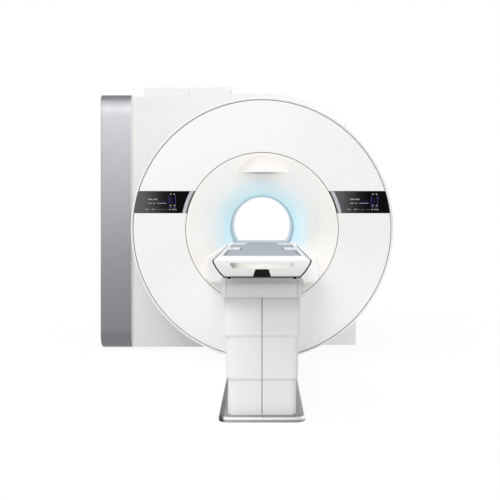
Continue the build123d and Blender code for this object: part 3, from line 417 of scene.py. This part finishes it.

# Silver side panel: anodised aluminium sheet, bead-blasted, with a painted reflection that runs from pale at
# the top to dark at the foot, and a painted highlight and dark band at its rounded top; its inner flank is
# painted pale and given a glow, as painted light from the covers beside it.
finishes["anodised_silver"], tree, shader = surfaced(
    "anodised_aluminium_panel", {}, (0.36, 0.42), 60, 0.008, 1.5,
)
painted_light_grade = ramp_between(
    tree, along(tree, "Z", 0.02, 2.406),
    (
        (0.0, "#7C7E82"), (0.06, "#75777B"), (0.075, "#808286"), (0.28, "#8C8E92"), (0.52, "#A0A2A6"),
        (0.76, "#B0B2B7"), (0.915, "#BDBFC4"), (0.945, "#D2D3D7"), (0.965, "#B4B5BA"), (0.985, "#828388"),
    ),
)
normal = put(tree, "ShaderNodeNewGeometry").outputs["Normal"]
flank = span(tree, one_of(tree, normal, "X"), 0.35, 0.7)
feed(tree, shader, "Base Color", blended(tree, flank, painted_light_grade, linear("#E2E1DD")))
feed(tree, shader, "Metallic", span(tree, flank, 0, 1, 0.8, 0.0))
glowing(tree, shader, "#E9E7E2", product(tree, flank, along(tree, "Z", 0.2, 2.2, 0.18, 0.42)))

# Bore liner: satin glass-fibre tube in a cool grey, with painted light that makes it paler and glow more
# towards the back.
finishes["bore_grey"], tree, shader = surfaced("satin_bore_liner", {"IOR": 1.5}, (0.45, 0.55), 50, 0.015, 2.5)
LINER_ENDS = (-0.35, 0.85)
tint = ramp_between(
    tree, along(tree, "Y", *LINER_ENDS), ((0.0, "#C4D8E3"), (0.5, "#D4E2E9"), (1.0, "#EEF6F9")), "EASE",
)
feed(tree, shader, "Base Color", tint)
glowing(tree, shader, "#D3E8F3", along(tree, "Y", *LINER_ENDS, 0.0, 0.30))

# Light ring: opal acrylic over a ring of lamps, an even pale cyan.
finishes["ring_light"], tree, shader = mottled(
    "opal_acrylic_ring", {"IOR": 1.49}, "#D6F1FB", "#D2EFFA", 60, (0.4, 0.5), 20, 0.01, 2,
)
glowing(tree, shader, "#C4E6F2", 0.25)

# Base plate: satin stainless steel, with a painted highlight on the round above a darker front edge, and
# painted reflections across it, dark at the left corner and bright near the ends.
finishes["plate_steel"], tree, shader = surfaced(
    "satin_stainless_steel", {"Metallic": 0.9}, (0.2, 0.28), 30, 0.004, 1.5, (1, 0.1, 1),
)
edge = ramp_between(
    tree, along(tree, "Z", 0.0, 0.034),
    ((0.0, "#A2A4A6"), (0.45, "#ABADAF"), (0.56, "#F8F9FA"), (0.95, "#F8F9FA"), (0.99, "#A0A3A5")),
)
mirrored = ramp_between(
    tree, along(tree, "X", -0.275, 0.275),
    ((0.0, "#3A3B3C"), (0.05, "#5A5B5C"), (0.08, "#FFFFFF"), (0.93, "#DADBDC"), (0.97, "#FFFFFF")),
)
feed(tree, shader, "Base Color", blended(tree, 1.0, edge, mirrored, "MULTIPLY"))

# Column shells: moulded ABS, warm white with a fine spark-eroded texture, with a painted shadow of the
# housing at the top and painted light at the left.
finishes["column_white"], tree, shader = surfaced(
    "moulded_abs_column", coated(1.53, 0.2, 0.25), (0.4, 0.5), 40, 0.015, 1.2,
)
tint = ramp_between(
    tree, along(tree, "Z", 0.672, 0.775),
    ((0.0, "#E6E8E7"), (0.35, "#DCDEDD"), (0.65, "#D4D6D5"), (1.0, "#CFD1D0")),
)
feed(tree, shader, "Base Color", tint)
glowing(tree, shader, "#F4F6F5", along(tree, "X", -0.2, 0.02, 0.07, 0.005))

# Housing and skirts: the same ABS, painted greyer as the shade under the end cap, with a painted shadow
# darker still below the edge trim.
finishes["housing_white"], tree, shader = surfaced(
    "moulded_abs_housing", coated(1.53, 0.3, 0.2), (0.38, 0.48), 40, 0.015, 1.5,
)
tint = ramp_between(
    tree, along(tree, "Z", 0.826, 0.866), ((0.0, "#D9DADA"), (0.5, "#D0D1D1"), (0.9, "#C9CACA")),
)
feed(tree, shader, "Base Color", tint)

# End cap: the same ABS, painted satin, with painted shade from a white top edge to a greyer foot; the hand
# slot's pocket is gloss white with painted light, and painted shadow at its ends.
finishes["cap_white"], tree, shader = surfaced(
    "painted_abs_end_cap", coated(1.53, 0.35, 0.18), (0.36, 0.46), 40, 0.015, 1.5,
)
# Painted shade and highlight: a greyer foot and a white top edge.
painted_light_grade = ramp_between(
    tree, along(tree, "Z", 0.934, 1.051),
    ((0.0, "#C6C7C8"), (0.12, "#D2D3D4"), (0.4, "#DADBDB"), (0.7, "#E2E3E3"), (0.86, "#F1F1F1")),
)
cap_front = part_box("end_cap")[0][1]
cap_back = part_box("end_cap")[1][1]
pocket = product(
    tree,
    span(tree, away_from(tree, "X"), 0.205, 0.21, 1, 0),
    span(tree, away_from(tree, "Z", 0.997), 0.020, 0.022, 1, 0),
    along(tree, "Y", cap_front + 0.004, cap_front + 0.012),
)
# Painted shadow in the pocket: darker at its left and right ends.
painted_pocket_shade = ramp_between(
    tree, along(tree, "X", -0.196, 0.196),
    (
        (0.0, "#6E6B67"), (0.05, "#A9A6A1"), (0.16, "#EAE8E4"), (0.4, "#F3F2EF"), (0.93, "#EEEDEB"),
        (1.0, "#BDBBB8"),
    ),
)
feed(tree, shader, "Base Color", blended(tree, pocket, painted_light_grade, painted_pocket_shade))
# Painted light: a faint glow in the pocket.
glowing(tree, shader, "#FBFAF6", span(tree, pocket, 0, 1, 0, 0.11))

node_slots = {
    "cover_white": ("front_ring_upper", "front_ring_lower", "drum_cover", "rear_cover"),
    "roof_white": ("service_cover_left", "service_cover_right"),
    "body_white": ("body_front_panel", "body_cover_left", "body_cover_right"),
    "cowl_white": ("dock_cowl",),
    "funnel_white": ("front_funnel", "rear_funnel"),
    "left_display": ("left_display_glass",),
    "right_display": ("right_display_glass",),
    "strip_silver": ("left_key_strip", "right_key_strip"),
    "key_lilac": tuple(f"{side}_key_{number}" for side in ("left", "right") for number in range(1, 6)),
    "seal_grey": ("outer_seal", "inner_seal"),
    "anodised_silver": ("silver_side_panel",),
    "frame_steel": ("cover_frame", "floor_frame", "table_chassis", "mast_lower", "mast_middle"),
    "magnet_steel": ("vacuum_vessel",),
    "helium_aluminium": ("helium_vessel", "cold_head"),
    "motor_grey": ("cradle_motor", "lift_drive"),
    "coil_resin": ("gradient_coil",),
    "coil_former": ("body_rf_coil",),
    "bore_grey": ("bore_liner",),
    "ring_light": ("light_ring",),
    "deck_white": ("cradle_board", "bore_bridge"),
    "plate_steel": ("base_plate",),
    "column_white": ("column_lower", "column_middle", "column_upper"),
    "table_white": ("left_rail", "right_rail"),
    "housing_white": ("housing_front", "left_skirt", "right_skirt"),
    "cap_white": ("end_cap",),
    "paddle_black": ("release_paddle",),
    "trim_rubber": ("edge_trim",),
    "mattress_cover": ("mattress",),
    "socket_white": ("left_coil_socket", "right_coil_socket"),
}
for slot_name, members in node_slots.items():
    for member in members:
        materials = nodes[member].data.materials
        materials.clear()
        materials.append(finishes[slot_name])


# Pieces
def rounded(piece, width, segments=2):
    """Rounds a piece's sharp edges."""
    rounder = piece.modifiers.new("rounding", "BEVEL")
    rounder.width = width
    rounder.segments = segments
    rounder.limit_method = "ANGLE"
    bpy.ops.object.modifier_apply(modifier=rounder.name)


def block(low, high, rounding=0.0, segments=2):
    """A block between two corners, with its edges rounded."""
    bpy.ops.object.select_all(action="DESELECT")
    bpy.ops.mesh.primitive_cube_add(size=1, location=[(a + b) / 2 for a, b in zip(low, high)])
    piece = bpy.context.object
    piece.scale = [b - a for a, b in zip(low, high)]
    bpy.ops.object.transform_apply(location=True, rotation=True, scale=True)
    if rounding:
        rounded(piece, rounding, segments)
    return piece


def prism(corners, middle, radius, front, back, turn=0.0, rounding=0.0):
    """A prism of some corners round an (X, Z) middle, its ends at two places along Y."""
    bpy.ops.object.select_all(action="DESELECT")
    bpy.ops.mesh.primitive_cylinder_add(
        vertices=corners, radius=radius, depth=back - front,
        location=(middle[0], (front + back) / 2, middle[1]), rotation=(pi / 2, turn, 0),
    )
    piece = bpy.context.object
    bpy.ops.object.transform_apply(location=True, rotation=True, scale=True)
    if rounding:
        rounded(piece, rounding)
    return piece


def finished(pieces, name, finish, body):
    """Joins pieces to one, names it, and gives it its finish and the body that it rides on."""
    bpy.ops.object.select_all(action="DESELECT")
    for piece in pieces:
        piece.select_set(True)
    bpy.context.view_layer.objects.active = pieces[0]
    if len(pieces) > 1:
        bpy.ops.object.join()
    whole = bpy.context.object
    whole.name = name
    whole.data.name = name
    whole.data.materials.clear()
    whole.data.materials.append(finish)
    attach(whole, body)
    return whole


def copied(piece, name, shift, body):
    """A copy of a piece with its own mesh, shifted."""
    twin = piece.copy()
    twin.data = piece.data.copy()
    twin.name = name
    twin.data.name = name
    twin.data.transform(Matrix.Translation(shift))
    scene.collection.objects.link(twin)
    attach(twin, body)
    return twin


def lit_ink(name, colour, strength):
    """Ink that the display lights from behind, with the fine mottle of its dots."""
    ink, tree, shader = mottled(
        name, {"IOR": 1.5, "Specular IOR Level": 0.1}, "#0A0A0C", "#08080A", 4, (0.4, 0.5), 3, 0.002, 1,
    )
    dots = ramp_between(tree, grain(tree, 1.2), ((0.3, colour), (0.7, "#FFFFFF")))
    glowing(tree, shader, blended(tree, 0.15, linear(colour), dots), strength)
    return ink


# The displays' marks are thin films on the glass, in places read from the photograph, in mm.
FILM_FRONT = RING_FRONT - 0.0006
FILM_BACK = RING_FRONT + 0.0004
BAR_WIDTH = 4.0  # mm
BAR_PITCH = 6.2  # mm
DISPLAY_SHIFT = 1.756  # from a mark on the left display to its twin on the right one
text_ink = lit_ink("lit_white_ink", "#D6D8E0", 0.68)
line_ink = lit_ink("lit_violet_ink", "#544FC4", 0.33)
dot_ink = lit_ink("lit_yellow_ink", "#D9DEAE", 0.62)


def film(x_start, x_end, z_low, z_high):
    """A thin film on the display glass, from places in mm."""
    return block((x_start * MM, FILM_FRONT, z_low * MM), (x_end * MM, FILM_BACK, z_high * MM), 0.0003, 1)


def word(x_start, x_end, z_middle, height):
    """A row of letter-like bars of two heights, with nothing to read."""
    bars = []
    place = x_start
    z_low = z_middle - height / 2
    while place + BAR_WIDTH <= x_end:
        rise = height if len(bars) % 3 else height * 0.7
        bars.append(film(place, place + BAR_WIDTH, z_low, z_low + rise))
        place += BAR_PITCH
    return bars


readout = []
for x_start, x_end, z_middle, height in (
    (-990, -953, 1416, 11), (-946, -909, 1416, 11),
    (-988, -953, 1382, 8), (-946, -928, 1382, 8), (-911, -832, 1382, 6),
):
    readout += word(x_start, x_end, z_middle, height)
for x_start, x_end in ((-1013, -986), (-955, -930), (-807, -792), (-780, -764), (-760, -745)):
    readout.append(film(x_start, x_end, 1329, 1332))
    readout.append(film(x_start, x_start + 3, 1320, 1329))
    readout.append(film(x_end - 3, x_end, 1320, 1329))
for x_start in range(-911, -825, 17):
    readout.append(film(x_start, x_start + 1.6, 1321, 1331))
readout = finished(readout, "left_display_readout", text_ink, "gantry")
outline = [
    film(-808, -803, 1341, 1452), film(-754, -749, 1341, 1452), film(-808, -749, 1341, 1345),
    film(-803, -796, 1424, 1428), film(-761, -754, 1424, 1428), film(-784, -780, 1380, 1420),
]
outline = finished(outline, "left_display_outline", line_ink, "gantry")
dots = [
    prism(20, (x * MM, z * MM), 0.0058, FILM_FRONT, FILM_BACK)
    for x, z in ((-792, 1461), (-762, 1460), (-792, 1362), (-762, 1362))
]
dots = finished(dots, "left_display_dots", dot_ink, "gantry")
for piece in (readout, outline, dots):
    copied(piece, piece.name.replace("left", "right"), (DISPLAY_SHIFT, 0, 0), "gantry")

# Keys: each carries a small printed sign: out, in, up, down and stop.
key_ink = mottled(
    "pad_printed_key_ink", {"IOR": 1.5}, "#55555E", "#4F4F58", 6, (0.5, 0.6), 4, 0.004, 0.8,
)[0]
PRINT_THICKNESS = 0.0003
PRINT_ROUND = 0.0002
arrow_turns = (0, pi, pi / 2, -pi / 2)
for number in range(1, 6):
    low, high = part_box(f"left_key_{number}")
    x_middle = (low[0] + high[0]) / 2
    z_middle = (low[2] + high[2]) / 2
    front = low[1] - PRINT_THICKNESS
    back = low[1] + PRINT_THICKNESS
    if number == 5:
        half = 0.0036
        signs = [block(
            (x_middle - half, front, z_middle - half), (x_middle + half, back, z_middle + half),
            PRINT_ROUND, 1,
        )]
    else:
        turn = arrow_turns[number - 1]
        signs = [prism(3, (x_middle, z_middle), 0.0052, front, back, turn, PRINT_ROUND)]
        signs.append(block(
            (x_middle - 0.0030, front, z_middle - 0.0070), (x_middle + 0.0030, back, z_middle - 0.0060),
            PRINT_ROUND, 1,
        ))
    sign = finished(signs, f"left_key_{number}_sign", key_ink, f"left_key_{number}")
    copied(sign, f"right_key_{number}_sign", (-2 * x_middle, 0, 0), f"right_key_{number}")

# The column's shells are halves: a dark rubber strip lies in the groove where they meet, and stands in for
# the groove's shade.
seam_strip_and_shade = mottled(
    "epdm_seam_strip", DULL_RUBBER, "#4A4B4D", "#444547", 20, (0.6, 0.75), 8, 0.02, 1.5,
)[0]
for shell, body in (
    ("column_lower", "gantry"), ("column_middle", "column_middle"), ("column_upper", "table"),
):
    low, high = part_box(shell)
    strip = block(
        (-0.0023, low[1] + 0.0008, low[2] + 0.004), (0.0023, low[1] + 0.0028, high[2] - 0.004), 0.0006,
    )
    finished([strip], f"{shell}_seam", seam_strip_and_shade, body)

# A dark rubber lip closes the gap between each rail and the board that slides beside it, and stands in for
# the shade in that gap.
lip_rubber_and_shade = mottled(
    "epdm_rail_lip_and_shade", DULL_RUBBER, "#2A2B2E", "#252629", 20, (0.6, 0.75), 8, 0.02, 1.5,
)[0]
LIP_INNER = 0.2376  # 2.6 mm clear of the board
LIP_WIDTH = 0.0046
rail_low, rail_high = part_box("right_rail")
lip = block(
    (LIP_INNER, rail_low[1] + 0.002, rail_high[2] - 0.0016),
    (LIP_INNER + LIP_WIDTH, rail_high[1] - 0.004, rail_high[2] + 0.0006),
    0.0006,
)
lip = finished([lip], "right_rail_lip", lip_rubber_and_shade, "table")
copied(lip, "left_rail_lip", (-2 * LIP_INNER - LIP_WIDTH, 0, 0), "table")


def drawn_in(node_name, inset):
    """A merged copy of a node's mesh as a new object, its walls drawn in evenly."""
    bpy.ops.object.select_all(action="DESELECT")
    piece = nodes[node_name].copy()
    piece.data = nodes[node_name].data.copy()
    scene.collection.objects.link(piece)
    piece.parent = None
    piece.select_set(True)
    bpy.context.view_layer.objects.active = piece
    bpy.ops.object.mode_set(mode="EDIT")
    bpy.ops.mesh.select_all(action="SELECT")
    bpy.ops.mesh.remove_doubles(threshold=0.00005)
    bpy.ops.mesh.normals_make_consistent(inside=False)
    bpy.ops.transform.shrink_fatten(value=-inset, use_even_offset=True)
    bpy.ops.object.mode_set(mode="OBJECT")
    return piece


def cut_active(place, direction, **options):
    """Cuts the active piece along a plane."""
    bpy.ops.object.mode_set(mode="EDIT")
    bpy.ops.mesh.select_all(action="SELECT")
    bpy.ops.mesh.bisect(plane_co=place, plane_no=direction, **options)
    bpy.ops.object.mode_set(mode="OBJECT")


def swollen(piece, pressure, most_sideways, most_up):
    """Fills a piece with air as cloth on its pinned underside, each point held to a reach."""
    start = [vertex.co.copy() for vertex in piece.data.vertices]
    lowest = min(point.z for point in start)
    pinned = piece.vertex_groups.new(name="laid_flat")
    pinned.add([number for number, point in enumerate(start) if point.z < lowest + 0.003], 1.0, "REPLACE")
    cloth = piece.modifiers.new("filling", "CLOTH")
    cloth.settings.use_pressure = True
    cloth.settings.uniform_pressure_force = pressure
    cloth.settings.vertex_group_mass = pinned.name
    cloth.settings.effector_weights.gravity = 0
    for moment in range(1, 21):
        scene.frame_set(moment)
    shape = piece.evaluated_get(bpy.context.evaluated_depsgraph_get())
    ends = [vertex.co.copy() for vertex in shape.data.vertices]
    piece.modifiers.remove(cloth)
    scene.frame_set(1)
    for vertex, first, last in zip(piece.data.vertices, start, ends):
        move = last - first
        flat = Vector((move.x, move.y, 0))
        if flat.length > most_sideways:
            flat *= most_sideways / flat.length
        vertex.co = first + flat + Vector((0, 0, max(0.0, min(most_up, move.z))))


# Under the end cap the edge trim is moulded with a full, rounded lip, 1.3 mm proud of the bare strip.
trim_lip = drawn_in("edge_trim", -0.0013)
cut_active((0, cap_back - 0.016, 0), (0, 1, 0), use_fill=True, clear_outer=True)
rounded(trim_lip, 0.0010)
for vertex in trim_lip.data.vertices:
    vertex.co.y = max(vertex.co.y, cap_front + 0.0004)
finished([trim_lip], "edge_trim_lip", finishes["trim_rubber"], "table")

# The mattress: a foam pad in coated knit. Its underside lies on the board, air swells the rest.
PAD_INSET = 0.005
board_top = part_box("mattress")[0][2]
pad = drawn_in("mattress", PAD_INSET)
for vertex in pad.data.vertices:
    if vertex.co.z < board_top + 0.010:
        vertex.co.z = board_top + 0.0003
pad.data.remesh_voxel_size = 0.009
bpy.ops.object.voxel_remesh()
swollen(pad, 4.0, 0.003, 0.0045)
finer = pad.modifiers.new("finer", "SUBSURF")
finer.levels = 1
finer.render_levels = 1
bpy.ops.object.modifier_apply(modifier=finer.name)
bpy.ops.object.shade_smooth()
# Rows of stitching across the pad, 2.2 mm deep: at the head and where the foot cover ends.
STITCH_DEPTH = 0.0022
STITCH_HALF = 0.006
for seam_place in (-1.606, -2.790):
    for vertex in pad.data.vertices:
        away = abs(vertex.co.y - seam_place) / STITCH_HALF
        if away < 3 and vertex.co.z > board_top + 0.018:
            vertex.co.z -= STITCH_DEPTH * exp(-away * away)
pad = finished([pad], "padded_mattress", finishes["mattress_cover"], "cradle")

# Piping round the pad's upper edge: a cord in the cover's own cloth, painted paler as a highlight along the
# edge.
piping_cloth = mottled(
    "knit_piping_painted_highlight", KNIT,
    "#B9BFCC", "#B2B8C6", 90, (0.42, 0.55), 12, 0.10, 2,
)[0]
drawn_in("mattress", 0.0022)
cut_active((0, 0, board_top + 0.0245), (0, 0, 1), clear_inner=True, clear_outer=True)
bpy.ops.object.convert(target="CURVE")
bpy.context.object.data.bevel_depth = 0.0019
bpy.context.object.data.bevel_resolution = 2
bpy.ops.object.convert(target="MESH")
piping = finished([bpy.context.object], "mattress_piping", piping_cloth, "cradle")
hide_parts("mattress")


# Floor, world and lamps
def seen_by(tree, *kinds):
    """1 for the named kinds of ray, 0 for the light that the pieces gather."""
    path = put(tree, "ShaderNodeLightPath")
    seen = path.outputs[kinds[0]]
    for kind in kinds[1:]:
        seen = maths(tree, "MAXIMUM", seen, path.outputs[kind])
    return seen


bpy.ops.mesh.primitive_circle_add(vertices=96, radius=9, fill_type="NGON", location=(0, -1, 0))
floor = bpy.context.object
floor.name = "studio_floor"
# The floor is white paper for the camera, which fades into the world, and a matt grey for the light.
floor_paint = bpy.data.materials.new("matt_studio_floor")
floor_paint.use_nodes = True
tree = floor_paint.node_tree
tree.nodes.clear()
white = put(tree, "ShaderNodeEmission", sockets={"Color": (1, 1, 1, 1), "Strength": 1.0})
seen = seen_by(tree, "Is Camera Ray", "Is Glossy Ray")
fading = span(tree, vector_maths(tree, "LENGTH", "Value", object_place(tree)), 2.6, 4.6, 0.93, 1.0)
tone = ramp_between(tree, seen, ((0.0, "#D2D2D2"), (1.0, "#FFFFFF")))
paint = put(tree, "ShaderNodeBsdfDiffuse", sockets={"Color": tone, "Roughness": 0.5})
share = put(tree, "ShaderNodeMix", {}, {"Factor": seen, "A": 0.24, "B": fading})
mix = put(
    tree, "ShaderNodeMixShader",
    sockets={0: share.outputs["Result"], 1: paint.outputs["BSDF"], 2: white.outputs["Emission"]},
)
put(tree, "ShaderNodeOutputMaterial", sockets={"Surface": mix.outputs["Shader"]})
floor.data.materials.append(floor_paint)

world = bpy.data.worlds.new("white_studio")
scene.world = world
world.use_nodes = True
tree = world.node_tree
tree.nodes.clear()
seen = seen_by(tree, "Is Camera Ray", "Is Glossy Ray", "Is Transmission Ray")
sky = put(
    tree, "ShaderNodeBackground",
    sockets={"Color": (1, 1, 1, 1), "Strength": span(tree, seen, 0, 1, 0.48, 1.0)},
)
put(tree, "ShaderNodeOutputWorld", sockets={"Surface": sky.outputs["Background"]})


def lamp(name, place, aim, size, watts, spread=180, shine=False):
    """A soft rectangular lamp at a place, turned towards an aim, its beam spread in degrees."""
    light = bpy.data.lights.new(name, "AREA")
    light.shape = "RECTANGLE"
    light.spread = spread * pi / 180
    light.size, light.size_y = size
    light.energy = watts
    holder = bpy.data.objects.new(name, light)
    holder.location = place
    holder.rotation_euler = (Vector(aim) - Vector(place)).to_track_quat("-Z", "Y").to_euler()
    holder.visible_camera = False
    holder.visible_glossy = shine
    scene.collection.objects.link(holder)


lamp("key_softbox", (-5.5, -10.5, 16.0), (0, -1.2, 1.0), (13.0, 12.0), 1850)
lamp("front_fill", (2.0, -22.0, 2.8), (0, 0, 1.1), (36.0, 8.0), 1150)
lamp("right_kicker", (7.5, -6.5, 0.7), (0.42, -0.95, 0.34), (0.5, 0.4), 0.72, spread=10)
lamp("left_kicker", (-7.5, -6.5, 0.9), (-0.40, -0.95, 0.52), (0.5, 0.4), 0.17, spread=6)
lamp("gloss_softbox", (-1.9, -8.4, 3.6), (-1.9, 0, 3.6), (4.8, 3.2), 40, shine=True)

# The photograph's camera: level, in the bore's plane of symmetry, its picture shifted.
camera = bpy.data.objects.new("camera", bpy.data.cameras.new("camera"))
camera.location = (0, -7.95, 1.323)
camera.rotation_euler = (pi / 2, 0, 0)
camera.data.lens = 58.03
camera.data.sensor_width = 36
camera.data.shift_x = -0.024
camera.data.shift_y = -0.080
camera.data.clip_end = 100
scene.collection.objects.link(camera)
scene.camera = camera
scene.view_settings.view_transform = "Standard"
